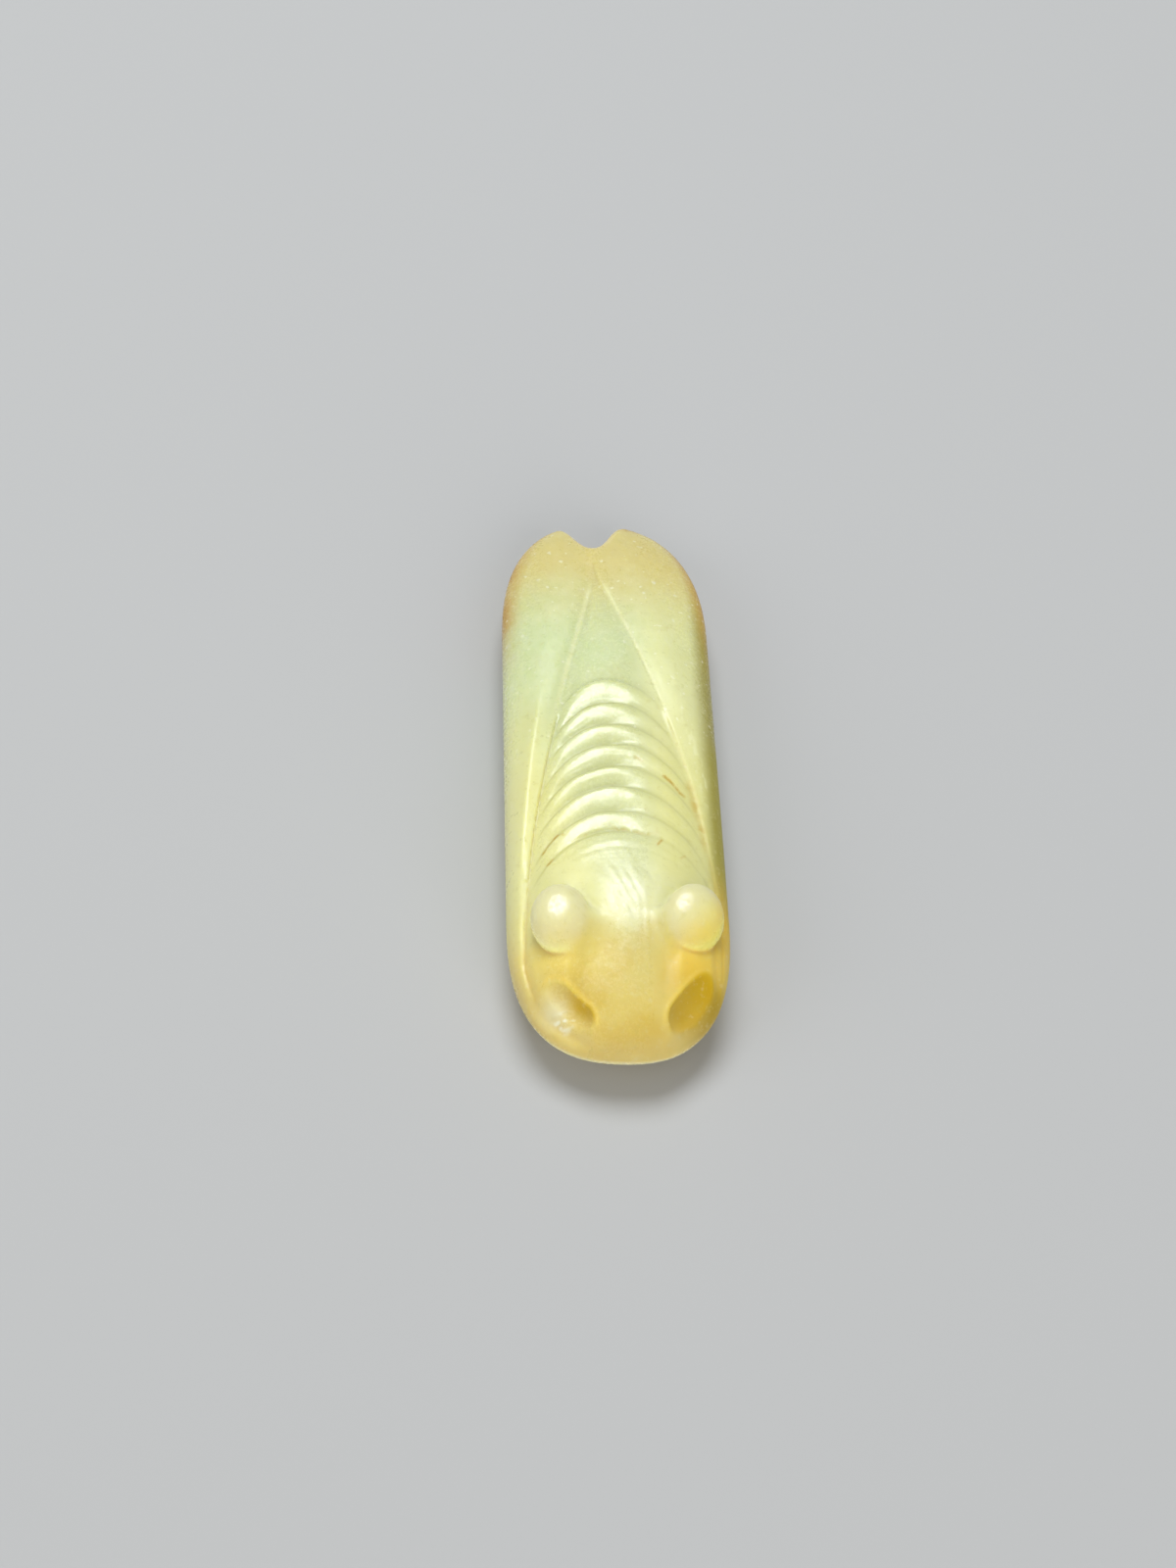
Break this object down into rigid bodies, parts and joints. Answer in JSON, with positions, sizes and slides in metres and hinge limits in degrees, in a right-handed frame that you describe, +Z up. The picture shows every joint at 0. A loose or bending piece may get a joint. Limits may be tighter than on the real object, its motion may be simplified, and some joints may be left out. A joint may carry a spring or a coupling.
{
  "type": "jade cicada carving",
  "caption": "Pebble-shaped jade cicada with folded wings, a ribbed abdomen, knob eyes and a notched tail, lying on its belly.",
  "frame": {"origin": "on the ground, under the middle of the carving's bounding box", "axes": "+Y along the body towards the wing tips, with the head towards -Y; +Z up through the carved back; +X across the body, so that the head's left eye, as seen from above the head, is on -X"},
  "size_m": [0.021, 0.0651, 0.0129],
  "materials": {
    "jade": "polished pale celadon nephrite with a waxy gloss, honey yellow at the face and brownish at the tail edge"
  },
  "bodies": {
    "root": {"jade_cicada": "jade"}
  },
  "joints": []
}
